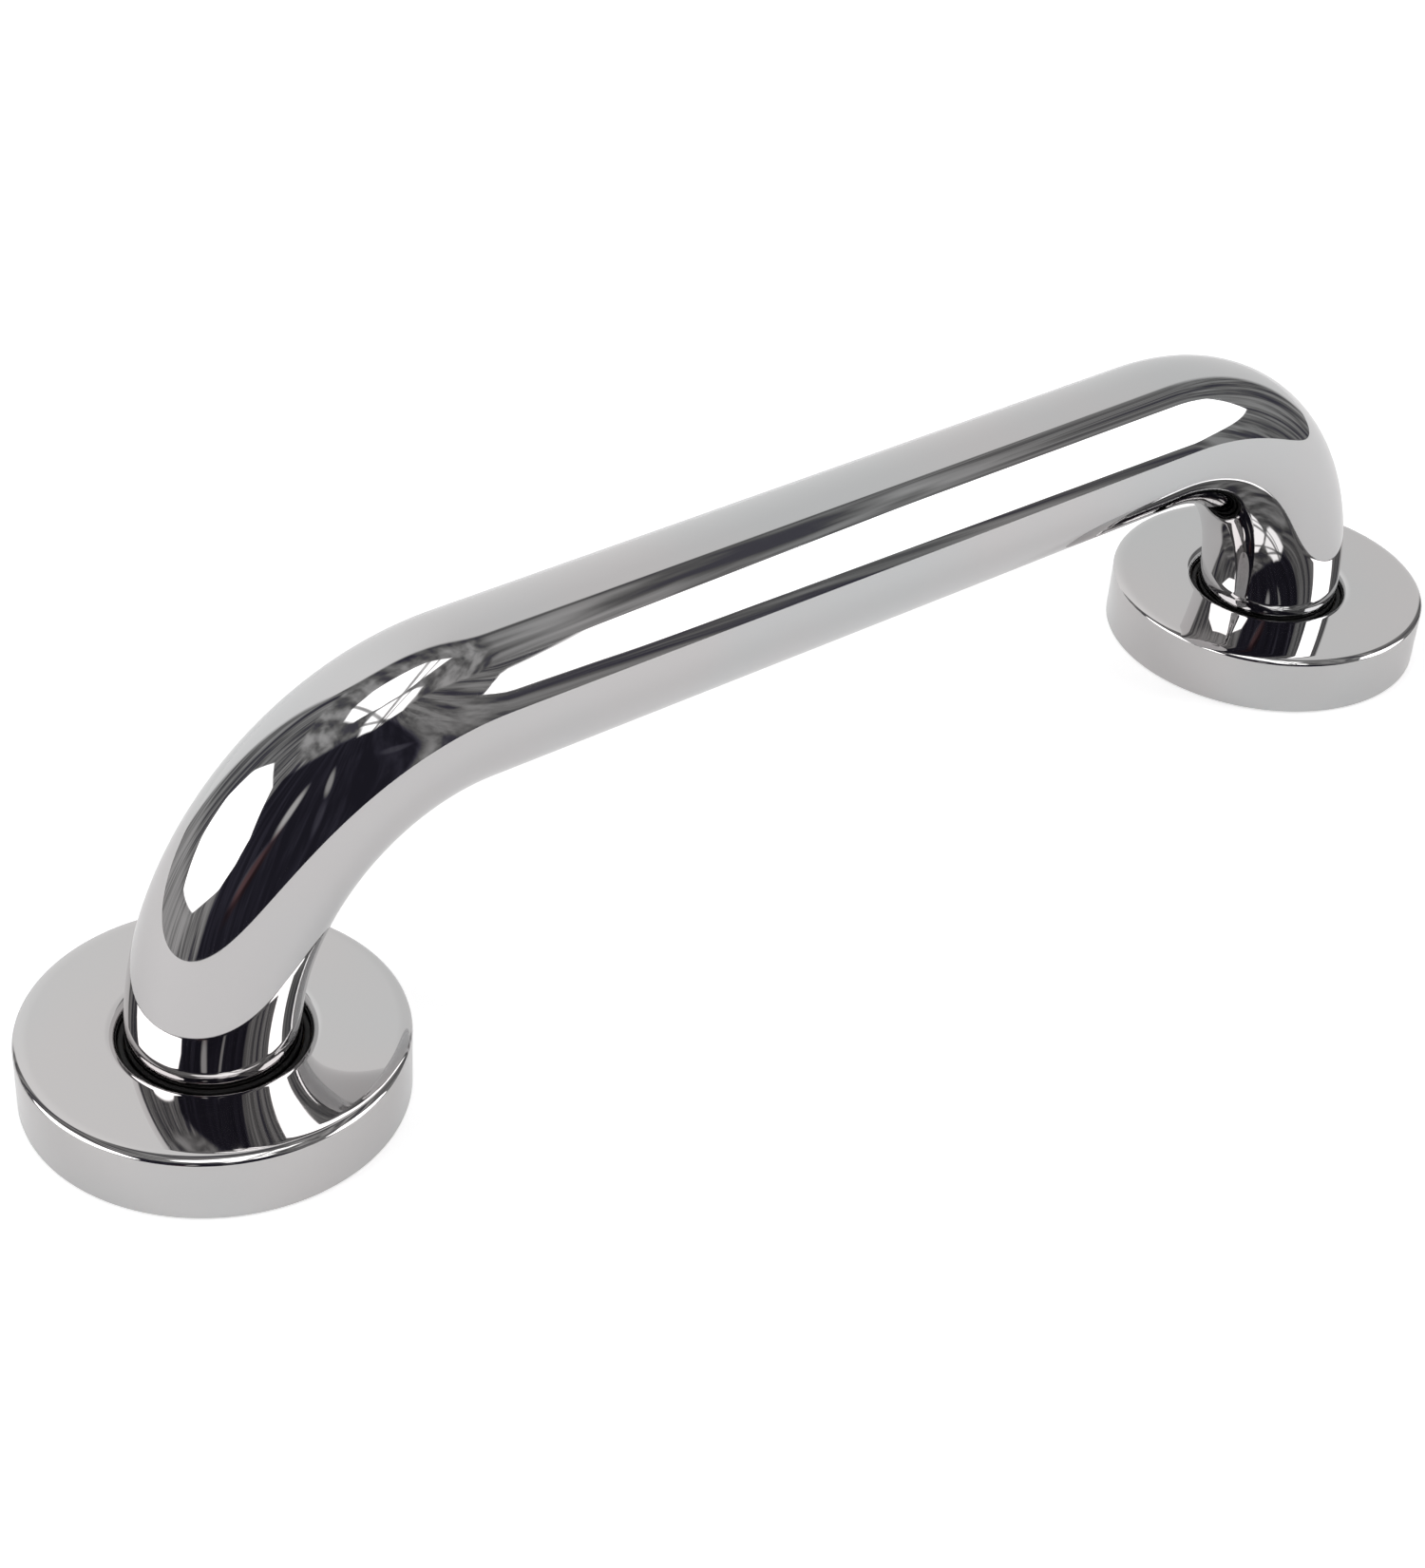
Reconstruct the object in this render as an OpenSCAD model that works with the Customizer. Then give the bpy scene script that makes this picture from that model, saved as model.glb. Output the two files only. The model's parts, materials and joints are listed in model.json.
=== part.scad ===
// Grab rail: a bent, polished tube on two screw-down feet, each hidden by a round cover.
// Millimetres. The wall is the plane z = 0, the bar runs along X, and the origin is midway
// between the feet. Each cover lifts off its foot and travels round the bend above it.

/* [Tube] */
// Distance between the centres of the two feet
foot_spacing = 334; // [260:2:900]
// Height of the bar's axis above the wall
bar_height = 78.5; // [78:0.5:110]
// Outside diameter of the tube
tube_d = 38; // [32:1:38]
// Wall thickness of the tube
tube_wall = 1.5; // [1:0.1:2.5]
// Centreline radius of each bend
bend_r = 63; // [55:1:63]

/* [Feet] */
// Outside diameter of the base flange and of its gasket
flange_d = 76; // [72:1:76]
// Thickness of the base flange
flange_t = 4; // [3:0.5:4]
// Thickness of the gasket under the flange
gasket_t = 1; // [0.5:0.1:1.5]
// Size of the weld's leg on the flange and on the tube
weld_leg = 3; // [1.5:0.5:3]

/* [Screw holes] */
// Number of screws in each foot
screw_count = 3; // [3:1:6]
// Diameter of the circle that the screws stand on
screw_pcd = 60; // [58:1:60]
// Diameter of each screw hole
screw_hole_d = 5.5; // [4.5:0.1:5.5]
// Diameter of the countersink at the flange's top face
countersink_d = 10; // [9:0.5:10.5]

/* [Covers] */
// Outside diameter of the cover
cover_d = 85; // [85:1:90]
// Height of the cover's top face above the wall
cover_h = 16; // [15:0.5:18]
// Thickness of the cover's pressed sheet
cover_t = 0.8; // [0.6:0.1:0.8]
// Width of the shoulder where the cover's top turns into its skirt
shoulder_w = 3.2; // [3:0.1:3.6]
// Height of that shoulder, which is a quarter of an ellipse
shoulder_h = 1.4; // [1.3:0.1:1.6]
// Gap all round between the tube and the cover's hole
cover_gap = 1.8; // [1.8:0.1:2.6]
// Outside radius where the cover's top turns down into the neck round its hole
lip_r = 2.4; // [2:0.1:2.6]
// Height of the neck, from its lower edge to the cover's top face
neck_h = 5; // [4.8:0.1:6]
// Clearance under the cover's skirt
cover_lift = 0.3; // [0.2:0.1:0.5]

/* [Seal rings] */
// Height of the ring that centres the cover on the tube
seal_h = 2.2; // [1.5:0.1:2.5]
// Distance of the ring's top below the cover's top face
seal_drop = 2.6; // [2.4:0.1:3]
// Play between the ring and the tube
seal_bore_play = 0.3; // [0.25:0.05:0.4]
// Play between the ring and the cover's neck
seal_rim_play = 0.2; // [0.1:0.05:0.3]
// Radius on the ring's edges
seal_edge_r = 0.4; // [0.2:0.1:0.6]

/* [Hidden] */
$fn = 96;

foot_x = foot_spacing / 2;
tube_r = tube_d / 2;
flange_top = gasket_t + flange_t;
leg_top = bar_height - bend_r;
bar_length = foot_spacing - 2 * bend_r;
countersink_depth = (countersink_d - screw_hole_d) / 2;
cover_r = cover_d / 2;
hole_r = tube_r + cover_gap;
seal_top = cover_h - seal_drop;
// How far a cutting body runs past the faces that it opens
over = 1;
// Straight steps that stand for the curves of the cover's shoulder and lip
shoulder_steps = 15;
lip_steps = 10;

// The tube's wall in section
module tube_section() {
    difference() {
        circle(r = tube_r);
        circle(r = tube_r - tube_wall);
    }
}

// Straight leg between the right foot's flange and its bend
module leg() {
    translate([foot_x, 0, flange_top])
        linear_extrude(leg_top - flange_top) tube_section();
}

// Quarter bend from the top of the right leg to the end of the bar
module bend() {
    translate([foot_x - bend_r, 0, leg_top])
        rotate([90, 0, 0])
            rotate_extrude(angle = 90) translate([bend_r, 0]) tube_section();
}

module bar() {
    translate([-bar_length / 2, 0, bar_height])
        rotate([0, 90, 0]) linear_extrude(bar_length) tube_section();
}

module rail_tube() {
    color("silver")
        union() {
            bar();
            for (side = [0, 1]) mirror([side, 0, 0]) {
                leg();
                bend();
            }
        }
}

// Screw holes through the right foot, from low to high
module screw_holes(low, high) {
    for (turn = [0 : screw_count - 1])
        rotate([0, 0, 90 + turn * 360 / screw_count])
            translate([screw_pcd / 2, 0, low])
                cylinder(d = screw_hole_d, h = high - low);
}

// Countersinks at 90 degrees that open at the flange's top face
module countersinks() {
    for (turn = [0 : screw_count - 1])
        rotate([0, 0, 90 + turn * 360 / screw_count])
            translate([screw_pcd / 2, 0, flange_top - countersink_depth])
                cylinder(
                    d1 = screw_hole_d, d2 = countersink_d + 2 * over, h = countersink_depth + over
                );
}

module base_flange() {
    color("lightgray")
        translate([foot_x, 0, 0])
            difference() {
                translate([0, 0, gasket_t]) cylinder(d = flange_d, h = flange_t);
                screw_holes(gasket_t - over, flange_top + over);
                countersinks();
            }
}

module base_gasket() {
    color("dimgray")
        translate([foot_x, 0, 0])
            difference() {
                cylinder(d = flange_d, h = gasket_t);
                screw_holes(-over, gasket_t + over);
            }
}

// Fillet weld that joins the leg to the flange: a quarter-round bead
module weld_bead() {
    color("darkgray")
        translate([foot_x, 0, flange_top])
            rotate_extrude() translate([tube_r, 0])
                intersection() {
                    circle(r = weld_leg);
                    square(weld_leg);
                }
}

// Points round a circle's arc, from one angle to another
function arc(x, y, r, start, end, steps) = [
    for (i = [0 : steps])
        let (angle = start + (end - start) * i / steps)
            [x + r * cos(angle), y + r * sin(angle)]
];

// Point on the cover's shoulder where the sheet has turned down by tilt. Inset is how far the
// ellipse is set in from the outside face; the sheet is a little thinner where it bends.
function shoulder_point(tilt, inset) =
    let (
        wide = shoulder_w - inset,
        high = shoulder_h - inset,
        across = wide * sin(tilt),
        up = high * cos(tilt),
        size = norm([across, up])
    ) [
        cover_r - shoulder_w + wide * across / size,
        cover_h - shoulder_h + high * up / size
    ];

// Round cap pressed from sheet: a skirt, a flat top, and a neck turned down round its hole
module cover() {
    tilts = [for (i = [0 : shoulder_steps]) 90 * i / shoulder_steps];
    tilts_back = [for (i = [shoulder_steps : -1 : 0]) tilts[i]];
    lip_x = hole_r + lip_r;
    lip_y = cover_h - lip_r;
    neck_low = cover_h - neck_h;
    color("gainsboro")
        translate([foot_x, 0, 0])
            rotate_extrude()
                polygon(concat(
                    arc(lip_x, lip_y, lip_r, 180, 90, lip_steps),
                    [for (tilt = tilts) shoulder_point(tilt, 0)],
                    [[cover_r, cover_lift], [cover_r - cover_t, cover_lift]],
                    [for (tilt = tilts_back) shoulder_point(tilt, cover_t)],
                    arc(lip_x, lip_y, lip_r - cover_t, 90, 180, lip_steps),
                    [[hole_r + cover_t, neck_low], [hole_r, neck_low]]
                ));
}

// Rubber ring between the tube and the cover's neck
module seal_ring() {
    ring_in = tube_r + seal_bore_play;
    ring_out = hole_r - seal_rim_play;
    flat_w = ring_out - ring_in - 2 * seal_edge_r;
    color("black")
        translate([foot_x, 0, seal_top - seal_h])
            rotate_extrude() translate([ring_in, 0]) {
                translate([0, seal_edge_r])
                    square([ring_out - ring_in, seal_h - 2 * seal_edge_r]);
                translate([seal_edge_r, 0]) square([flat_w, seal_h]);
                for (across = [0, 1]) for (up = [0, 1])
                    translate([
                        seal_edge_r + across * flat_w,
                        seal_edge_r + up * (seal_h - 2 * seal_edge_r)
                    ]) circle(r = seal_edge_r);
            }
}

// The left foot is the right one's mirror image
module left() {
    mirror([1, 0, 0]) children();
}

rail_tube();
left() base_flange();  // left_base_flange
base_flange();  // right_base_flange
left() weld_bead();  // left_weld_bead
weld_bead();  // right_weld_bead
left() base_gasket();  // left_base_gasket
base_gasket();  // right_base_gasket
left() cover();  // left_cover
cover();  // right_cover
left() seal_ring();  // left_seal_ring
seal_ring();  // right_seal_ring
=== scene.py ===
import json
import math

import bpy
from mathutils import Matrix, Vector


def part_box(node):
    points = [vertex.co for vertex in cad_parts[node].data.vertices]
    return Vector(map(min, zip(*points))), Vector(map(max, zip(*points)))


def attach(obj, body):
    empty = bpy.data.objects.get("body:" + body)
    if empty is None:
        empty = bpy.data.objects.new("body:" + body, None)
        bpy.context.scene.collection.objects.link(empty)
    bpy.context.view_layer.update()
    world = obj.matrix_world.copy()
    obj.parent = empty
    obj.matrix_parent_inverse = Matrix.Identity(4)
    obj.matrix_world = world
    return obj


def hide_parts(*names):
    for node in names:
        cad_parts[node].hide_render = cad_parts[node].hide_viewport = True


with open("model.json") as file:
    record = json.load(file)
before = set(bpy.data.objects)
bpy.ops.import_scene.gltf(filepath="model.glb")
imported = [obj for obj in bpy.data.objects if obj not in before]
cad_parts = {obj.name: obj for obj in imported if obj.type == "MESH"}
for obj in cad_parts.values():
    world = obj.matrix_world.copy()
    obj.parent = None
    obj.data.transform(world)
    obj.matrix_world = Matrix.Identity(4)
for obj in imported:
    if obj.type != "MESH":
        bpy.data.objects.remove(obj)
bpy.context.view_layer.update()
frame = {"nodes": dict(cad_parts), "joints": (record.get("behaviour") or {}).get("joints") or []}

mm = 0.001
sides = ("left", "right")


def addNode(tree, kind, **settings):
    node = tree.nodes.new(kind)
    for key, value in settings.items():
        setattr(node, key, value)
    return node


def plug(tree, value, socket):
    # a socket is linked, anything else becomes the input's own value
    if isinstance(value, bpy.types.NodeSocket):
        tree.links.new(value, socket)
    else:
        socket.default_value = value


def calc(tree, operation, *values):
    node = addNode(tree, "ShaderNodeMath", operation=operation)
    for socket, value in zip(node.inputs, values):
        plug(tree, value, socket)
    return node.outputs[0]


def total(tree, *values):
    result = values[0]
    for value in values[1:]:
        result = calc(tree, "ADD", result, value)
    return result


def product(tree, *values):
    result = values[0]
    for value in values[1:]:
        result = calc(tree, "MULTIPLY", result, value)
    return result


def vectorCalc(tree, operation, *values):
    node = addNode(tree, "ShaderNodeVectorMath", operation=operation)
    sockets = (node.inputs[0], node.inputs["Scale"]) if operation == "SCALE" else node.inputs
    for socket, value in zip(sockets, values):
        plug(tree, value, socket)
    return node.outputs["Value" if operation == "DOT_PRODUCT" else "Vector"]


def joinXYZ(tree, x=0.0, y=0.0, z=0.0):
    node = addNode(tree, "ShaderNodeCombineXYZ")
    for socket, value in zip(node.inputs, (x, y, z)):
        plug(tree, value, socket)
    return node.outputs[0]


def fade(tree, value, low, high, fromValue=0.0, toValue=1.0):
    # eased step from fromValue at low to toValue at high
    node = addNode(tree, "ShaderNodeMapRange", interpolation_type="SMOOTHSTEP")
    for name, part in (("Value", value), ("From Min", low), ("From Max", high),
                       ("To Min", fromValue), ("To Max", toValue)):
        plug(tree, part, node.inputs[name])
    return node.outputs["Result"]


def noise(tree, vector, scale, detail=2.0, roughness=0.5, distortion=0.0):
    node = addNode(tree, "ShaderNodeTexNoise")
    for name, part in (("Vector", vector), ("Scale", scale), ("Detail", detail),
                       ("Roughness", roughness), ("Distortion", distortion)):
        plug(tree, part, node.inputs[name])
    return node.outputs["Fac"]


def warpNoise(tree, vector, scale):
    # noise vector that runs from -1 to 1 on each axis
    node = addNode(tree, "ShaderNodeTexNoise")
    plug(tree, vector, node.inputs["Vector"])
    node.inputs["Scale"].default_value = scale
    return vectorCalc(tree, "MULTIPLY_ADD", node.outputs["Color"], (2, 2, 2), (-1, -1, -1))


def mixColour(tree, amount, first, second):
    node = addNode(tree, "ShaderNodeMix", data_type="RGBA")
    plug(tree, amount, node.inputs[0])
    plug(tree, first, node.inputs[6])
    plug(tree, second, node.inputs[7])
    return node.outputs[2]


def mixValue(tree, amount, first, second):
    node = addNode(tree, "ShaderNodeMix", data_type="FLOAT")
    for socket, value in zip(node.inputs[0:1] + node.inputs[2:4], (amount, first, second)):
        plug(tree, value, socket)
    return node.outputs[0]


def grey(value):
    return (value, value, value, 1.0)


def newMaterial(name):
    material = bpy.data.materials.new(name)
    material.use_nodes = True
    tree = material.node_tree
    place = addNode(tree, "ShaderNodeTexCoord").outputs["Object"]
    return material, tree, tree.nodes["Principled BSDF"], place


def meshObject(name, vertices, faces, material):
    mesh = bpy.data.meshes.new(name)
    mesh.from_pydata(vertices, [], faces)
    mesh.materials.append(material)
    mesh.shade_smooth()
    piece = bpy.data.objects.new(name, mesh)
    bpy.context.scene.collection.objects.link(piece)
    return piece


def bakeModifiers(piece):
    # the evaluated shape becomes the piece's own plain mesh
    graph = bpy.context.evaluated_depsgraph_get()
    mesh = bpy.data.meshes.new_from_object(piece.evaluated_get(graph), depsgraph=graph)
    piece.modifiers.clear()
    piece.data = mesh
    mesh.name = piece.name
    return piece


def arc(acrossCentre, upCentre, radius, startDegrees, endDegrees, steps):
    points = []
    for step in range(steps + 1):
        angle = math.radians(startDegrees + (endDegrees - startDegrees) * step / steps)
        points.append((acrossCentre + radius * math.cos(angle), upCentre + radius * math.sin(angle)))
    return points


def stretch(first, last, steps):
    # points between two profile points, closer together near both ends
    points = []
    for step in range(1, steps):
        share = (1 - math.cos(math.pi * step / steps)) / 2
        points.append(tuple(a + (b - a) * share for a, b in zip(first, last)))
    return points


def revolve(name, profile, centreX, segments, material, shape=None):
    # closed profile of (radius, height), anticlockwise, turned about the vertical axis at centreX
    vertices, faces = [], []
    for turn in range(segments):
        angle = 2 * math.pi * turn / segments
        for index, (radius, height) in enumerate(profile):
            if shape:
                radius, height = shape(index, angle, radius, height)
            vertices.append((centreX + radius * math.cos(angle), radius * math.sin(angle), height))
    count = len(profile)
    for turn in range(segments):
        here, there = turn * count, (turn + 1) % segments * count
        for index in range(count):
            after = (index + 1) % count
            faces.append((here + index, there + index, there + after, here + after))
    return meshObject(name, vertices, faces, material)


# sizes taken from the frame
tubeLow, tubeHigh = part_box("rail_tube")
tubeRadius = (tubeHigh.y - tubeLow.y) / 2
footX = tubeHigh.x - tubeRadius
barHeight = tubeHigh.z - tubeRadius
legBottom = tubeLow.z
swing = next(joint for joint in frame["joints"] if joint["name"] == "right_cover_swing")
bendRadius = footX - swing["pos_m"][0]


studio = {
    "floorReach": 0.7,            # radius of the table that the metal mirrors, in metres
    "floorGap": 0.2 * mm,         # between the floor and the gaskets
    "floorWhite": 0.66,
    "floorGlow": 0.31,            # its own brightness as the metal mirrors it
    "cameraGlow": 0.62,           # its own brightness as the camera sees it
    "cameraWhite": 0.93,          # what the camera sees past the floor
    "wallWhite": (0.78, 0.955),   # brightness of the paper wall behind the object, right and left
    "wallTurn": (35, 90),         # azimuths between which that brightness changes
    "wallReach": (13, 104),       # azimuths of its two ends, in degrees
    "wallMiddle": (60, 46),       # azimuth of its middle, and half its width
    "wallTop": (62, 14),          # elevation of its top edge, and its drop at the rounded corners
    "hazeGrey": 0.5,              # brightness of the haze beside the wall
    "hazeAcross": (108, 176),
    "hazeUp": (-9, 8),
    "roomGrey": 0.17,             # brightness of the room between the lights
    "roomLean": 0.3,              # lean of its upright streaks
    "roomGrain": (0.13, 0.012),   # how fine the streaks are across and along
    "skyGrey": 0.34,              # brightness of the ceiling round the overhead lamp
    "skyGrain": (1.3, 5.0),       # how fine its beams are along and across
    "skyStart": (57, 61),         # elevations where the room fades into the ceiling
    "skyRise": (-62, 12, 10),     # azimuths where the ceiling starts lower, and by how much
    "darkGrey": 0.016,            # brightness of the unlit room behind the camera
    "cameraSide": -125,           # azimuth of the camera's side
    "darkAcross": (-37, 50),      # the dark room's two sides, in degrees from the camera's side
    "darkLean": 0.1,              # lean of its sides
    "darkCurve": 0.004,           # curve of its sides and its top
    "darkMiddle": -5,             # where its top is highest, in degrees from the camera's side
    "darkTop": (60, 64),          # elevations where it fades out there
    "boxPower": 3.4,              # brightness of the two softboxes
    "topPower": 2.4,              # brightness of the overhead lamp
    "lightTint": (1.0, 0.996, 0.994, 1),
    "darkTint": (1.0, 0.95, 1.42, 1),
    "brownTint": (1.5, 0.72, 0.75, 1),
    "brownStand": ((-139, 16), (7, 16), 0.45, 0.8),    # as in glows
    "struts": (                   # across the overhead lamp: direction, offset, half width
        (118, 0.17, 0.018),
        (121, 0.235, 0.009),
        (-98, 0.175, 0.014),
        (62, -0.36, 0.018),
    ),
    "glows": (                    # in the dark room: place, half size, lean, brightness
        ((-134.5, 36), (5, 11), 0.05, 0.5),
        ((-114, 36.5), (2.4, 11), -0.47, 0.34),
        ((-141, 18), (5.5, 12), 0.45, 0.06),
        ((-106, 17), (2.5, 13), -0.4, 0.03),
        ((-69, 19), (9, 8), -0.3, 0.17),
        ((-86, 24), (2.5, 9), -0.8, 0.04),
    ),
}

# each lamp stands at an azimuth and an elevation, and its outline is a list of straight sides:
# the direction that a side faces, in degrees, and its distance from the lamp's middle as a tangent
lamps = {
    "rightBox": (-40, 28, (
        (45, 0.255), (-10, 0.355), (-45, 0.42), (-118, 0.362), (180, 0.345), (145, 0.357), (92, 0.37))),
    "leftBox": (163, 28, (
        (90, 0.385), (58, 0.45), (25, 0.55), (-25, 0.55), (-60, 0.42), (-90, 0.355), (-120, 0.425),
        (-165, 0.6), (155, 0.57), (120, 0.42))),
    "topPane": (-90, 87, (
        (100, 0.185), (140, 0.27), (190, 0.345), (235, 0.2), (270, 0.22), (-60, 0.23), (-15, 0.26),
        (30, 0.255), (65, 0.21))),
    "sidePane": (-96, 64.7, (
        (90, 0.14), (145, 0.2), (200, 0.13), (260, 0.14), (-50, 0.16), (-5, 0.17), (45, 0.16))),
}


def lampMask(tree, direction, lamp, soft=0.03, rounding=0.03):
    azimuth, elevation, outline = lamp
    a, e = math.radians(azimuth), math.radians(elevation)
    centre = Vector((math.cos(a) * math.cos(e), math.sin(a) * math.cos(e), math.sin(e)))
    right = centre.cross(Vector((0, 0, 1))).normalized()
    up = right.cross(centre)
    edge = None
    for turn, reach in outline:
        side = (right * math.cos(math.radians(turn)) + up * math.sin(math.radians(turn))) / reach
        value = vectorCalc(tree, "DOT_PRODUCT", direction, side)
        edge = calc(tree, "SMOOTH_MAX", edge, value, rounding) if edge else value
    depth = calc(tree, "MAXIMUM", vectorCalc(tree, "DOT_PRODUCT", direction, centre), 0.01)
    return fade(tree, calc(tree, "DIVIDE", edge, depth), 1 - soft, 1 + soft, 1.0, 0.0)


def glowSpot(tree, azimuth, elevation, place, size, lean, power):
    # soft upright patch of light, leaning by so many degrees of azimuth per degree of elevation
    rise = calc(tree, "SUBTRACT", elevation, place[1])
    aside = calc(tree, "SUBTRACT", azimuth, place[0])
    aside = calc(tree, "SUBTRACT", aside, calc(tree, "MULTIPLY", rise, lean))
    x, y = calc(tree, "DIVIDE", aside, size[0]), calc(tree, "DIVIDE", rise, size[1])
    reach = calc(tree, "SQRT", total(tree, calc(tree, "MULTIPLY", x, x), calc(tree, "MULTIPLY", y, y)))
    return fade(tree, reach, 0.35, 1.0, power, 0.0)


def band(tree, value, low, high, soft):
    rise = fade(tree, value, low - soft, low + soft)
    fall = fade(tree, value, high - soft, high + soft, 1.0, 0.0)
    return calc(tree, "MULTIPLY", rise, fall)


def roomTone(tree, azimuth, elevation):
    # hanging cloths and stands give upright streaks that lean a little
    lean = total(tree, azimuth, product(tree, elevation, studio["roomLean"]))
    across, along = studio["roomGrain"]
    place = joinXYZ(tree, product(tree, lean, across), product(tree, elevation, along))
    streaks = noise(tree, place, 1.7, detail=4.0, roughness=0.62, distortion=0.3)
    return streaks, product(tree, fade(tree, streaks, 0.36, 0.66, 0.3, 2.0), studio["roomGrey"])


def ceilingTone(tree, split, overWall):
    # beams run straight across the ceiling, and it is darker along the top of the paper wall
    x, y, z = split
    safeZ = calc(tree, "MAXIMUM", z, 0.05)
    across, along = studio["skyGrain"]
    place = joinXYZ(tree, product(tree, calc(tree, "DIVIDE", y, safeZ), across),
                    product(tree, calc(tree, "DIVIDE", x, safeZ), along))
    beams = noise(tree, place, 1.6, detail=3.0, roughness=0.5, distortion=0.15)
    sky = product(tree, fade(tree, beams, 0.34, 0.66, 0.22, 1.35), studio["skyGrey"])
    return product(tree, sky, fade(tree, overWall, 2.0, 13.0, 0.55, 1.0))


def darkRoom(tree, direction, elevation):
    # degrees from the camera's side are used, so that no edge crosses the seam of the azimuth
    facing = math.radians(studio["cameraSide"])
    ahead = Vector((math.cos(facing), math.sin(facing), 0))
    beside = Vector((-math.sin(facing), math.cos(facing), 0))
    fromCamera = calc(tree, "DEGREES", calc(
        tree, "ARCTAN2", vectorCalc(tree, "DOT_PRODUCT", direction, beside),
        vectorCalc(tree, "DOT_PRODUCT", direction, ahead)))
    curve = studio["darkCurve"]
    side = total(tree, fromCamera, product(tree, elevation, studio["darkLean"]),
                 product(tree, elevation, elevation, curve))
    offCentre = calc(tree, "SUBTRACT", fromCamera, studio["darkMiddle"])
    top = total(tree, elevation, product(tree, offCentre, offCentre, curve))
    across = band(tree, side, *studio["darkAcross"], 2)
    return product(tree, across, fade(tree, top, *studio["darkTop"], 1.0, 0.0))


def overheadLamp(tree, direction):
    # two bright panes with slightly wavy edges, crossed by the struts that hold them
    waves = vectorCalc(tree, "MULTIPLY", warpNoise(tree, direction, 4.0), (0.035, 0.035, 0.0))
    wavy = vectorCalc(tree, "ADD", direction, waves)
    side = product(tree, lampMask(tree, wavy, lamps["sidePane"], 0.12), 0.95)
    panes = calc(tree, "MAXIMUM", lampMask(tree, wavy, lamps["topPane"], 0.06), side)
    for turn, offset, width in studio["struts"]:
        t = math.radians(turn)
        normal = (math.sin(t), math.cos(t), -offset)
        away = calc(tree, "ABSOLUTE", vectorCalc(tree, "DOT_PRODUCT", direction, normal))
        panes = product(tree, panes, fade(tree, away, width * 0.3, width * 1.4, 0.15, 1.0))
    return panes


def buildStudioLight():
    world = bpy.data.worlds.new("studio")
    bpy.context.scene.world = world
    world.use_nodes = True
    tree = world.node_tree
    tree.nodes.clear()
    place = addNode(tree, "ShaderNodeTexCoord")
    direction = vectorCalc(tree, "NORMALIZE", place.outputs["Generated"])
    split = addNode(tree, "ShaderNodeSeparateXYZ")
    tree.links.new(direction, split.inputs[0])
    x, y, z = split.outputs
    azimuth = calc(tree, "DEGREES", calc(tree, "ARCTAN2", y, x))
    elevation = calc(tree, "DEGREES", calc(tree, "ARCSINE", z))

    # the wall's top edge drops quickly near its two ends
    wallAzimuth, wallHalf = studio["wallMiddle"]
    wallTop, wallDrop = studio["wallTop"]
    fromMiddle = calc(tree, "DIVIDE", calc(tree, "SUBTRACT", azimuth, wallAzimuth), wallHalf)
    drop = calc(tree, "POWER", calc(tree, "ABSOLUTE", fromMiddle), 6.0)
    wallEdge = calc(tree, "SUBTRACT", wallTop, product(tree, drop, wallDrop))
    overWall = calc(tree, "SUBTRACT", elevation, wallEdge)

    # room below, ceiling above
    streaks, tone = roomTone(tree, azimuth, elevation)
    riseFrom, riseTo, rise = studio["skyRise"]
    height = total(tree, elevation, product(tree, band(tree, azimuth, riseFrom, riseTo, 14), rise))
    sky = ceilingTone(tree, (x, y, z), overWall)
    tone = mixValue(tree, fade(tree, height, *studio["skyStart"]), tone, sky)

    # paper wall behind the object, and a haze beside it
    underEdge = fade(tree, overWall, -2.0, 1.5, 1.0, 0.0)
    wall = product(tree, band(tree, azimuth, *studio["wallReach"], 2.5), underEdge)
    tone = mixValue(tree, wall, tone, fade(tree, azimuth, *studio["wallTurn"], *studio["wallWhite"]))
    haze = product(tree, band(tree, azimuth, *studio["hazeAcross"], 10),
                   band(tree, elevation, *studio["hazeUp"], 4), fade(tree, streaks, 0.3, 0.7, 0.4, 0.9))
    tone = mixValue(tree, haze, tone, studio["hazeGrey"])

    # unlit room behind the camera, with dim lamps and their stands in it
    glow = total(tree, fade(tree, streaks, 0.42, 0.7, 0.0, 0.02), studio["darkGrey"])
    for spot in studio["glows"]:
        glow = total(tree, glow, glowSpot(tree, azimuth, elevation, *spot))
    tone = mixValue(tree, darkRoom(tree, direction, elevation), tone, glow)

    # overhead lamp, and a softbox on each side of the camera
    tone = mixValue(tree, overheadLamp(tree, direction), tone, studio["topPower"])
    boxes = calc(tree, "MAXIMUM", lampMask(tree, direction, lamps["rightBox"]),
                 lampMask(tree, direction, lamps["leftBox"]))
    tone = mixValue(tree, boxes, tone, studio["boxPower"])

    # shadows lean to blue, and one stand in the dark room is brown
    cool = fade(tree, tone, 0.0, 0.14, 1.0, 0.0)
    tint = mixColour(tree, cool, studio["lightTint"], studio["darkTint"])
    brown = glowSpot(tree, azimuth, elevation, *studio["brownStand"])
    tint = mixColour(tree, brown, tint, studio["brownTint"])
    light = addNode(tree, "ShaderNodeBackground")
    tree.links.new(vectorCalc(tree, "SCALE", tint, tone), light.inputs["Color"])
    plain = addNode(tree, "ShaderNodeBackground")
    plain.inputs["Color"].default_value = grey(studio["cameraWhite"])
    path = addNode(tree, "ShaderNodeLightPath")
    mix = addNode(tree, "ShaderNodeMixShader")
    tree.links.new(path.outputs["Is Camera Ray"], mix.inputs[0])
    tree.links.new(light.outputs[0], mix.inputs[1])
    tree.links.new(plain.outputs[0], mix.inputs[2])
    output = addNode(tree, "ShaderNodeOutputWorld")
    tree.links.new(mix.outputs[0], output.inputs[0])
    world.cycles.sampling_method = "MANUAL"
    world.cycles.sample_map_resolution = 1024


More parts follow.
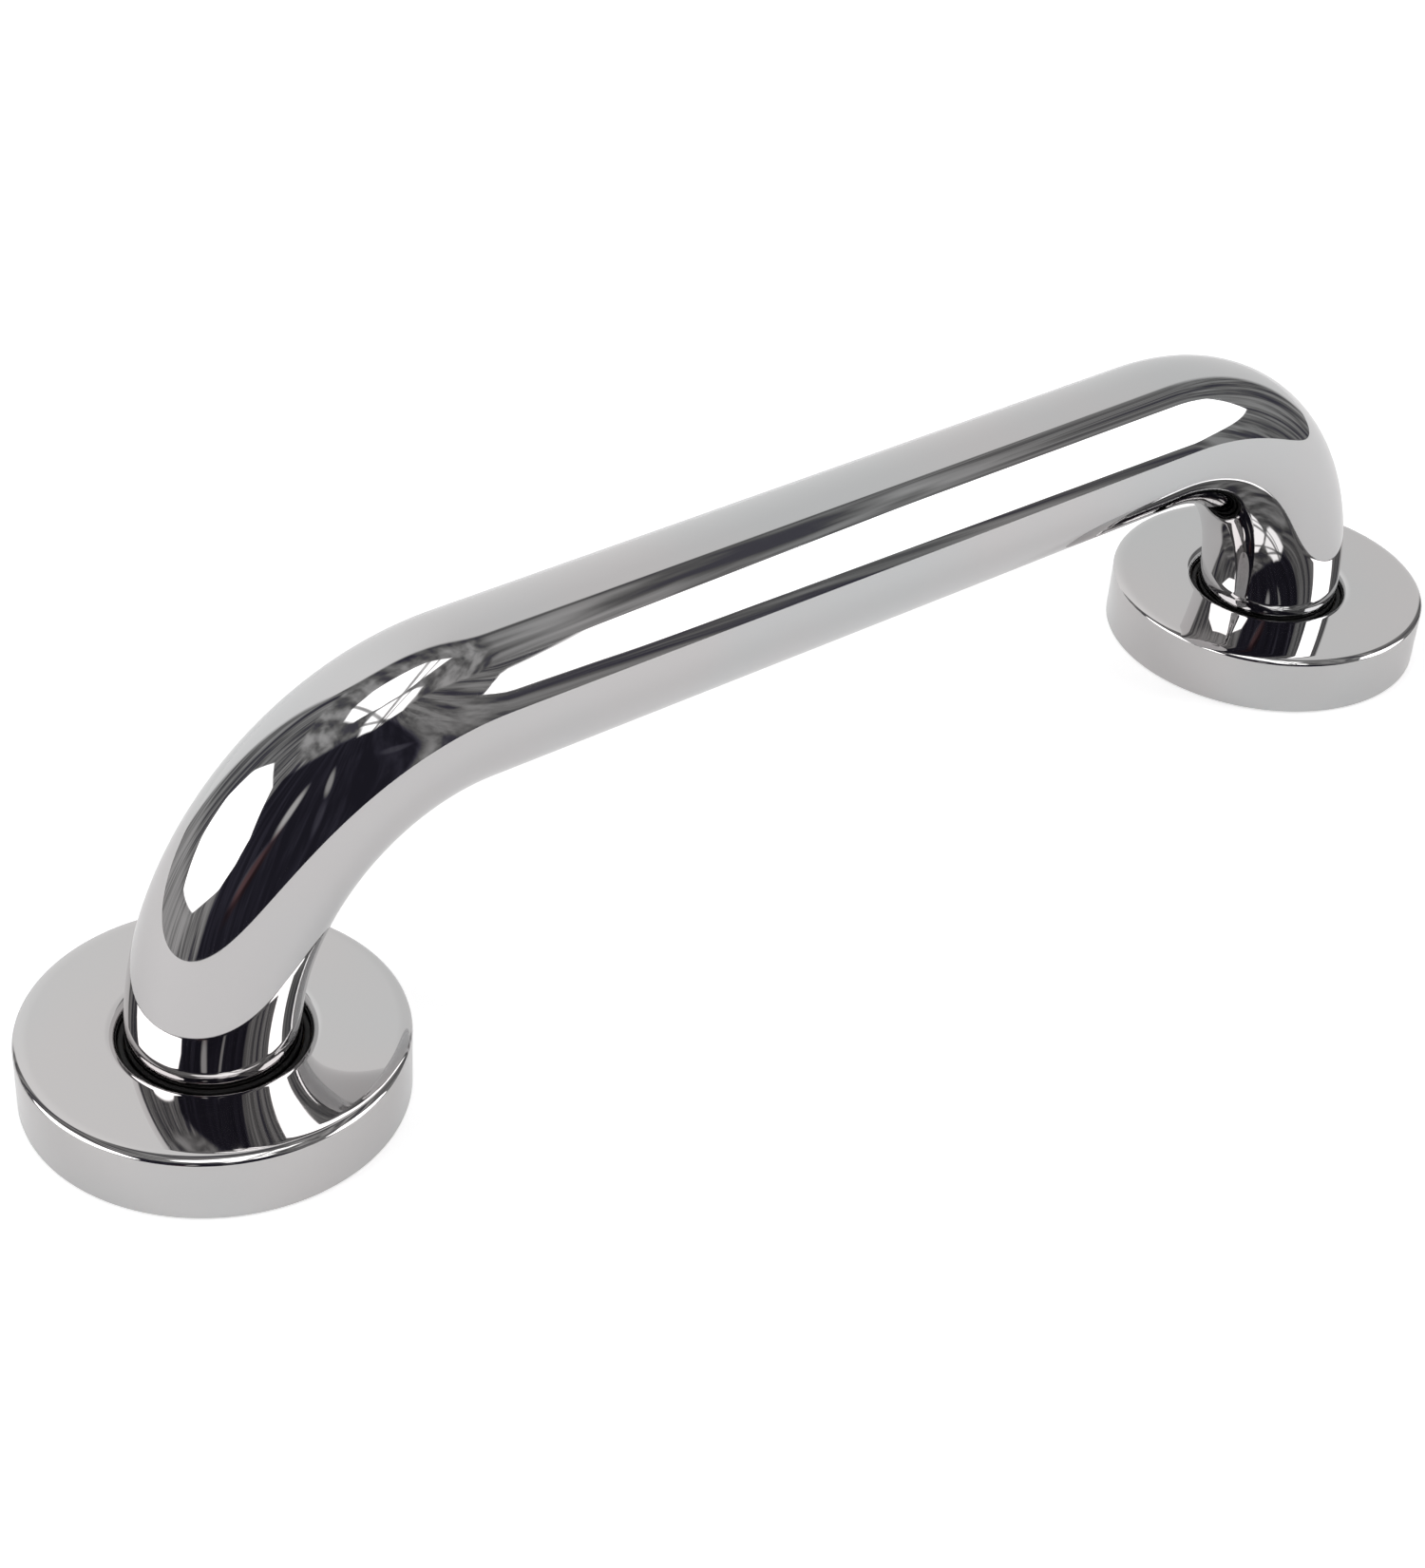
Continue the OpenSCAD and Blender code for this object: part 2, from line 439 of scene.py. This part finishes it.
def floorMaterial():
    material, tree, shader, _ = newMaterial("pale_floor")
    shader.inputs["Base Color"].default_value = grey(studio["floorWhite"])
    shader.inputs["Roughness"].default_value = 0.9
    shader.inputs["Specular IOR Level"].default_value = 0.1
    shader.inputs["Emission Color"].default_value = grey(1.0)
    seen = addNode(tree, "ShaderNodeLightPath").outputs["Is Camera Ray"]
    glow = mixValue(tree, seen, studio["floorGlow"], studio["cameraGlow"])
    tree.links.new(glow, shader.inputs["Emission Strength"])
    # from below the floor is clear, so that the underside of the rail can be seen
    side = addNode(tree, "ShaderNodeMixShader")
    tree.links.new(addNode(tree, "ShaderNodeNewGeometry").outputs["Backfacing"], side.inputs[0])
    tree.links.new(shader.outputs[0], side.inputs[1])
    tree.links.new(addNode(tree, "ShaderNodeBsdfTransparent").outputs[0], side.inputs[2])
    tree.links.new(side.outputs[0], tree.nodes["Material Output"].inputs["Surface"])
    return material


def buildFloor():
    material = floorMaterial()
    count = 96
    turns = [2 * math.pi * i / count for i in range(count)]
    ring = [(math.cos(turn), math.sin(turn)) for turn in turns]
    level = -studio["floorGap"]
    for name, inner, outer in (("floor_table", 0.0, studio["floorReach"]),
                               ("floor_far", studio["floorReach"], 60.0)):
        vertices = [(x * outer, y * outer, level) for x, y in ring]
        faces = [tuple(range(count))]
        if inner:
            vertices += [(x * inner, y * inner, level) for x, y in ring]
            faces = [(i, (i + 1) % count, count + (i + 1) % count, count + i) for i in range(count)]
        floor = meshObject(name, vertices, faces, material)
        floor.visible_glossy = not inner


# the view is aimed near the middle of the rail, halfway up to the bar's axis
view = {
    "turn": (-41.108, 35.702, 4.304),    # azimuth, elevation and roll, in degrees
    "distance": 0.6981,
    "shift": (-0.02457, -0.02135),       # of the camera's own place, across and up
    "lens": 66.54,
}


def buildCamera():
    azimuth, elevation, roll = (math.radians(value) for value in view["turn"])
    acrossShift, upShift = view["shift"]
    back = Vector((math.sin(azimuth) * math.cos(elevation),
                   -math.cos(azimuth) * math.cos(elevation), math.sin(elevation)))
    right = Vector((0, 0, 1)).cross(back).normalized()
    up = back.cross(right)
    rolledRight = right * math.cos(roll) + up * math.sin(roll)
    rolledUp = up * math.cos(roll) - right * math.sin(roll)
    place = Vector((0, 0, barHeight / 2)) + back * view["distance"]
    place += rolledRight * acrossShift + rolledUp * upShift
    data = bpy.data.cameras.new("camera")
    data.lens = view["lens"]
    data.sensor_width = 36
    data.clip_start = 0.01
    data.clip_end = 100
    camera = bpy.data.objects.new("camera", data)
    bpy.context.scene.collection.objects.link(camera)
    turned = Matrix((rolledRight, rolledUp, back)).transposed().to_4x4()
    camera.matrix_world = Matrix.Translation(place) @ turned
    bpy.context.scene.camera = camera


scene = bpy.context.scene
scene.view_settings.view_transform = "Standard"
scene.view_settings.look = "None"
buildStudioLight()
buildFloor()
buildCamera()
print("studio ready")


def polishTraceGroup():
    # what buffing leaves behind: slow waves, hairlines and smudges
    group = bpy.data.node_groups.new("polishTrace", "ShaderNodeTree")
    for name, value in (("Base Roughness", 0.03), ("Smudge", 0.05), ("Wave Size", 30.0),
                        ("Wave Depth", 0.5), ("Hairline Size", 900.0), ("Hairline Depth", 0.02)):
        socket = group.interface.new_socket(name, in_out="INPUT", socket_type="NodeSocketFloat")
        socket.default_value = value
    group.interface.new_socket("Vector", in_out="INPUT", socket_type="NodeSocketVector")
    group.interface.new_socket("Roughness", in_out="OUTPUT", socket_type="NodeSocketFloat")
    group.interface.new_socket("Height", in_out="OUTPUT", socket_type="NodeSocketFloat")
    inputs = addNode(group, "NodeGroupInput")
    outputs = addNode(group, "NodeGroupOutput")
    place = inputs.outputs["Vector"]
    waves = noise(group, place, inputs.outputs["Wave Size"], detail=1.0, roughness=0.4)
    hairPlace = vectorCalc(group, "MULTIPLY", place, (0.04, 1.0, 1.0))
    hairs = noise(group, hairPlace, inputs.outputs["Hairline Size"], detail=2.0, roughness=0.6)
    spots = noise(group, place, 45.0, detail=4.0, roughness=0.65, distortion=1.2)
    smudge = product(group, fade(group, spots, 0.5, 0.75), inputs.outputs["Smudge"])
    scratch = product(group, hairs, inputs.outputs["Hairline Depth"])
    roughness = total(group, inputs.outputs["Base Roughness"], smudge, scratch)
    height = product(group, waves, inputs.outputs["Wave Depth"])
    group.links.new(roughness, outputs.inputs["Roughness"])
    group.links.new(height, outputs.inputs["Height"])
    return group


def bump(tree, shader, height, distance, strength=1.0):
    node = addNode(tree, "ShaderNodeBump")
    node.inputs["Strength"].default_value = strength
    node.inputs["Distance"].default_value = distance
    tree.links.new(height, node.inputs["Height"])
    tree.links.new(node.outputs["Normal"], shader.inputs["Normal"])


polishTrace = polishTraceGroup()


def polishedSteel(name, tone, values):
    material, tree, shader, place = newMaterial(name)
    trace = addNode(tree, "ShaderNodeGroup", node_tree=polishTrace)
    tree.links.new(place, trace.inputs["Vector"])
    for key, value in values.items():
        trace.inputs[key].default_value = value
    shader.inputs["Metallic"].default_value = 1.0
    drift = fade(tree, noise(tree, place, 14.0), 0.35, 0.65)
    warm = (tone[0] * 1.02, tone[1], tone[2], 1.0)
    cool = (tone[0] * 0.985, tone[1], tone[2] * 1.005, 1.0)
    tree.links.new(mixColour(tree, drift, cool, warm), shader.inputs["Base Color"])
    tree.links.new(trace.outputs["Roughness"], shader.inputs["Roughness"])
    bump(tree, shader, trace.outputs["Height"], 0.0001)
    return material


def satinFlange():
    material, tree, shader, place = newMaterial("satin_flange")
    # turning marks run round each foot
    split = addNode(tree, "ShaderNodeSeparateXYZ")
    tree.links.new(place, split.inputs[0])
    x, y = calc(tree, "SUBTRACT", calc(tree, "ABSOLUTE", split.outputs[0]), footX), split.outputs[1]
    radius = calc(tree, "SQRT", total(tree, product(tree, x, x), product(tree, y, y)))
    rings = noise(tree, joinXYZ(tree, radius), 2600.0, detail=3.0, roughness=0.7)
    shader.inputs["Metallic"].default_value = 1.0
    tone = mixColour(tree, fade(tree, rings, 0.3, 0.7), (0.50, 0.49, 0.47, 1), (0.62, 0.61, 0.59, 1))
    # heat from the weld has tinted the steel next to it
    straw = fade(tree, radius, tubeRadius + 3.2 * mm, tubeRadius + 6.5 * mm, 0.55, 0.0)
    tone = mixColour(tree, straw, tone, (0.55, 0.42, 0.25, 1))
    tree.links.new(tone, shader.inputs["Base Color"])
    tree.links.new(fade(tree, rings, 0.2, 0.8, 0.24, 0.4), shader.inputs["Roughness"])
    bump(tree, shader, rings, 0.00004)
    return material


def weldMetal():
    material, tree, shader, place = newMaterial("weld_metal")
    shader.inputs["Metallic"].default_value = 1.0
    spots = fade(tree, noise(tree, place, 420.0, detail=3.0, roughness=0.6), 0.35, 0.65)
    tint = fade(tree, noise(tree, place, 120.0), 0.35, 0.65)
    tone = mixColour(tree, tint, (0.46, 0.44, 0.42, 1), (0.50, 0.40, 0.30, 1))
    tone = mixColour(tree, product(tree, spots, 0.4), tone, (0.34, 0.36, 0.44, 1))
    tree.links.new(tone, shader.inputs["Base Color"])
    tree.links.new(fade(tree, spots, 0.0, 1.0, 0.26, 0.42), shader.inputs["Roughness"])
    bump(tree, shader, spots, 0.00003)
    return material


def blackRubber(name, tone, grain):
    material, tree, shader, place = newMaterial(name)
    mottle = noise(tree, place, 160.0, detail=3.0, roughness=0.6)
    fine = noise(tree, place, grain, detail=2.0, roughness=0.7)
    dust = mixColour(tree, fade(tree, mottle, 0.45, 0.8, 0.0, 0.5), grey(tone), grey(tone * 1.9))
    tree.links.new(dust, shader.inputs["Base Color"])
    tree.links.new(fade(tree, fine, 0.3, 0.7, 0.48, 0.66), shader.inputs["Roughness"])
    shader.inputs["Specular IOR Level"].default_value = 0.35
    bump(tree, shader, fine, 0.00003)
    return material


tubeFinish = polishedSteel("polished_tube", (0.602, 0.60, 0.602), {
    "Base Roughness": 0.02, "Smudge": 0.03, "Wave Size": 28.0, "Wave Depth": 0.35,
    "Hairline Size": 1400.0, "Hairline Depth": 0.015})
coverFinish = polishedSteel("polished_cover", (0.602, 0.599, 0.598), {
    "Base Roughness": 0.02, "Smudge": 0.04, "Wave Size": 40.0, "Wave Depth": 0.25,
    "Hairline Size": 1200.0, "Hairline Depth": 0.02})
flangeFinish = satinFlange()
weldFinish = weldMetal()
gasketFinish = blackRubber("gasket_rubber", 0.035, 2400.0)
# the seal ring's rubber is black rubber partly and painted shade partly: it is far darker than the
# gasket's, so that the ring reads as the shaded gap round the tube
sealRubberGapShade = blackRubber("seal_rubber", 0.008, 3000.0)
print("finishes ready")


tube = {
    "wall": 1.5 * mm,
    "sides": 144,                 # faces round the tube
    "ringSpacing": 2.2 * mm,      # distance between rings along it
    "bendSteps": 200,             # points in each bend before they are evened out
}


def sweepTree():
    tree = bpy.data.node_groups.new("bentTube", "GeometryNodeTree")
    for name, kind in (("Geometry", "NodeSocketGeometry"), ("Foot X", "NodeSocketFloat"),
                       ("Bar Height", "NodeSocketFloat"), ("Leg Bottom", "NodeSocketFloat"),
                       ("Bend Radius", "NodeSocketFloat"), ("Tube Radius", "NodeSocketFloat"),
                       ("Ring Spacing", "NodeSocketFloat"), ("Sides", "NodeSocketInt"),
                       ("Bend Steps", "NodeSocketInt"), ("Material", "NodeSocketMaterial")):
        tree.interface.new_socket(name, in_out="INPUT", socket_type=kind)
    tree.interface.new_socket("Geometry", in_out="OUTPUT", socket_type="NodeSocketGeometry")
    inputs = addNode(tree, "NodeGroupInput")
    size = inputs.outputs
    # four corner points: foot, bend, bend, foot
    corners = addNode(tree, "GeometryNodeMeshLine")
    corners.inputs["Count"].default_value = 4
    index = addNode(tree, "GeometryNodeInputIndex").outputs[0]
    onLeft = calc(tree, "LESS_THAN", index, 1.5)
    sign = calc(tree, "SUBTRACT", 1.0, product(tree, onLeft, 2.0))
    isTop = calc(tree, "LESS_THAN", calc(tree, "ABSOLUTE", calc(tree, "SUBTRACT", index, 1.5)), 1.0)
    rise = calc(tree, "SUBTRACT", size["Bar Height"], size["Leg Bottom"])
    height = total(tree, size["Leg Bottom"], product(tree, isTop, rise))
    setPlace = addNode(tree, "GeometryNodeSetPosition")
    tree.links.new(corners.outputs["Mesh"], setPlace.inputs["Geometry"])
    place = joinXYZ(tree, x=product(tree, sign, size["Foot X"]), z=height)
    tree.links.new(place, setPlace.inputs["Position"])
    route = addNode(tree, "GeometryNodeMeshToCurve")
    tree.links.new(setPlace.outputs["Geometry"], route.inputs["Mesh"])
    bends = addNode(tree, "GeometryNodeFilletCurve", mode="POLY")
    tree.links.new(route.outputs["Curve"], bends.inputs["Curve"])
    tree.links.new(size["Bend Steps"], bends.inputs["Count"])
    tree.links.new(size["Bend Radius"], bends.inputs["Radius"])
    even = addNode(tree, "GeometryNodeResampleCurve", mode="LENGTH")
    tree.links.new(bends.outputs["Curve"], even.inputs["Curve"])
    tree.links.new(size["Ring Spacing"], even.inputs["Length"])
    section = addNode(tree, "GeometryNodeCurvePrimitiveCircle", mode="RADIUS")
    tree.links.new(size["Sides"], section.inputs["Resolution"])
    tree.links.new(size["Tube Radius"], section.inputs["Radius"])
    sweep = addNode(tree, "GeometryNodeCurveToMesh")
    tree.links.new(even.outputs["Curve"], sweep.inputs["Curve"])
    tree.links.new(section.outputs["Curve"], sweep.inputs["Profile Curve"])
    smooth = addNode(tree, "GeometryNodeSetShadeSmooth")
    tree.links.new(sweep.outputs["Mesh"], smooth.inputs["Geometry"])
    real = addNode(tree, "GeometryNodeRealizeInstances")
    tree.links.new(smooth.outputs["Geometry"], real.inputs["Geometry"])
    paint = addNode(tree, "GeometryNodeSetMaterial")
    tree.links.new(real.outputs["Geometry"], paint.inputs["Geometry"])
    tree.links.new(size["Material"], paint.inputs["Material"])
    output = addNode(tree, "NodeGroupOutput")
    tree.links.new(paint.outputs["Geometry"], output.inputs["Geometry"])
    return tree


def addGeometryNodes(piece, tree, values):
    modifier = piece.modifiers.new(tree.name, "NODES")
    modifier.node_group = tree
    for item in tree.interface.items_tree:
        if item.item_type == "SOCKET" and item.in_out == "INPUT" and item.name in values:
            modifier[item.identifier] = values[item.name]


def buildTube():
    piece = bpy.data.objects.new("bent_tube", bpy.data.meshes.new("bent_tube"))
    bpy.context.scene.collection.objects.link(piece)
    addGeometryNodes(piece, sweepTree(), {
        "Foot X": footX, "Bar Height": barHeight, "Leg Bottom": legBottom,
        "Bend Radius": bendRadius, "Tube Radius": tubeRadius,
        "Ring Spacing": tube["ringSpacing"], "Sides": tube["sides"],
        "Bend Steps": tube["bendSteps"], "Material": tubeFinish})
    shell = piece.modifiers.new("wall", "SOLIDIFY")
    shell.thickness = tube["wall"]
    shell.offset = -1
    bakeModifiers(piece)
    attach(piece, "rail")
    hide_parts("rail_tube")
    return piece


buildTube()
print("rail tube ready")


cover = {
    "sheet": 0.8 * mm,
    "shoulderWidth": 3.2 * mm,    # where the top turns into the skirt
    "shoulderHeight": 1.4 * mm,
    "lipRadius": 2.4 * mm,        # where the top turns down into the neck
    "neckHeight": 5.0 * mm,
    "holeGap": 1.8 * mm,          # between the tube and the neck
    "cutRadius": 0.15 * mm,       # on the skirt's lower edge
    "segments": 288,
}


def shoulder(outer, top, inset, steps):
    # quarter of an ellipse, from the top face down to the skirt, set in from the outside face
    wide, high = cover["shoulderWidth"] - inset, cover["shoulderHeight"] - inset
    centreX, centreY = outer - cover["shoulderWidth"], top - cover["shoulderHeight"]
    points = []
    for step in range(steps + 1):
        tilt = math.pi / 2 * step / steps
        across, up = wide * math.sin(tilt), high * math.cos(tilt)
        size = math.hypot(across, up)
        points.append((centreX + wide * across / size, centreY + high * up / size))
    return points


def coverProfile(outer, hole, low, top):
    sheet, lip, cut = cover["sheet"], cover["lipRadius"], cover["cutRadius"]
    inner, neckLow = outer - sheet, top - cover["neckHeight"]
    # each curved stretch of the section, and the steps from its end to the next one's start
    stretches = [
        (arc(outer - cut, low + cut, cut, -90, 0, 3), 14),
        (shoulder(outer, top, 0.0, 36)[::-1], 20),
        (arc(hole + lip, top - lip, lip, 90, 180, 18), 4),
        (arc(hole + cut, neckLow + cut, cut, 180, 270, 3)
         + arc(hole + sheet - cut, neckLow + cut, cut, -90, 0, 3), 4),
        (arc(hole + lip, top - lip, lip - sheet, 180, 90, 10), 12),
        (shoulder(outer, top, sheet, 16), 8),
        (arc(inner + cut, low + cut, cut, 180, 270, 3), 1),
    ]
    points = []
    for index, (part, steps) in enumerate(stretches):
        after = stretches[(index + 1) % len(stretches)][0]
        points += part + stretch(part[-1], after[0], steps)
    return points


def buildCovers():
    for side in sides:
        low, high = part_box(side + "_cover")
        outer, middle = (high.x - low.x) / 2, (low.x + high.x) / 2
        profile = coverProfile(outer, tubeRadius + cover["holeGap"], low.z, high.z)
        piece = revolve(side + "_foot_cover", profile, middle, cover["segments"], coverFinish)
        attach(piece, side + "_cover")
        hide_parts(side + "_cover")


buildCovers()
print("covers ready")


seal = {
    "edgeRadius": 0.4 * mm,
    "bore": 0.3 * mm,             # play between the ring and the tube
    "segments": 192,
}


def buildSeals():
    for side in sides:
        low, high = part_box(side + "_seal_ring")
        edge, middle = seal["edgeRadius"], (low.x + high.x) / 2
        near, far = tubeRadius + seal["bore"] + edge, (high.x - low.x) / 2 - edge
        bottom, top = low.z + edge, high.z - edge
        profile = (arc(far, bottom, edge, -90, 0, 6) + arc(far, top, edge, 0, 90, 6)
                   + arc(near, top, edge, 90, 180, 6) + arc(near, bottom, edge, 180, 270, 6))
        piece = revolve(side + "_rubber_seal", profile, middle, seal["segments"], sealRubberGapShade)
        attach(piece, side + "_seal")
        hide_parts(side + "_seal_ring")


buildSeals()
print("seal rings ready")


weld = {
    "ripples": 54,                # puddle marks round the tube
    "rippleDepth": 0.16 * mm,
    "lag": 0.9,                   # how far the marks trail behind in the middle of the bead
    "segments": 648,
}


def buildWelds():
    for side in sides:
        low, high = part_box(side + "_weld_bead")
        leg, middle = high.z - low.z, (low.x + high.x) / 2
        rim = arc(tubeRadius, low.z, leg, 0, 90, 12)
        profile = rim + [(tubeRadius, low.z)]

        def ripple(index, angle, radius, height):
            # crescent-shaped puddle marks, deepest in the middle of the bead
            if index >= len(rim):
                return radius, height
            share = index / (len(rim) - 1)
            phase = weld["ripples"] * angle + weld["lag"] * math.cos(math.pi * (share - 0.5)) * 2
            crest = 0.5 - 0.5 * abs(math.sin(phase / 2))
            shrink = 1 - 2 * weld["rippleDepth"] * math.sin(math.pi * share) * crest / leg
            return tubeRadius + (radius - tubeRadius) * shrink, low.z + (height - low.z) * shrink

        piece = revolve(side + "_weld", profile, middle, weld["segments"], weldFinish, ripple)
        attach(piece, "rail")
        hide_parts(side + "_weld_bead")


buildWelds()
print("welds ready")


# flanges and gaskets keep their own shape
def paintNode(name, material):
    node = frame["nodes"][name]
    node.data.materials.clear()
    node.data.materials.append(material)


for side in sides:
    paintNode(side + "_base_flange", flangeFinish)
    paintNode(side + "_base_gasket", gasketFinish)
print("feet ready")
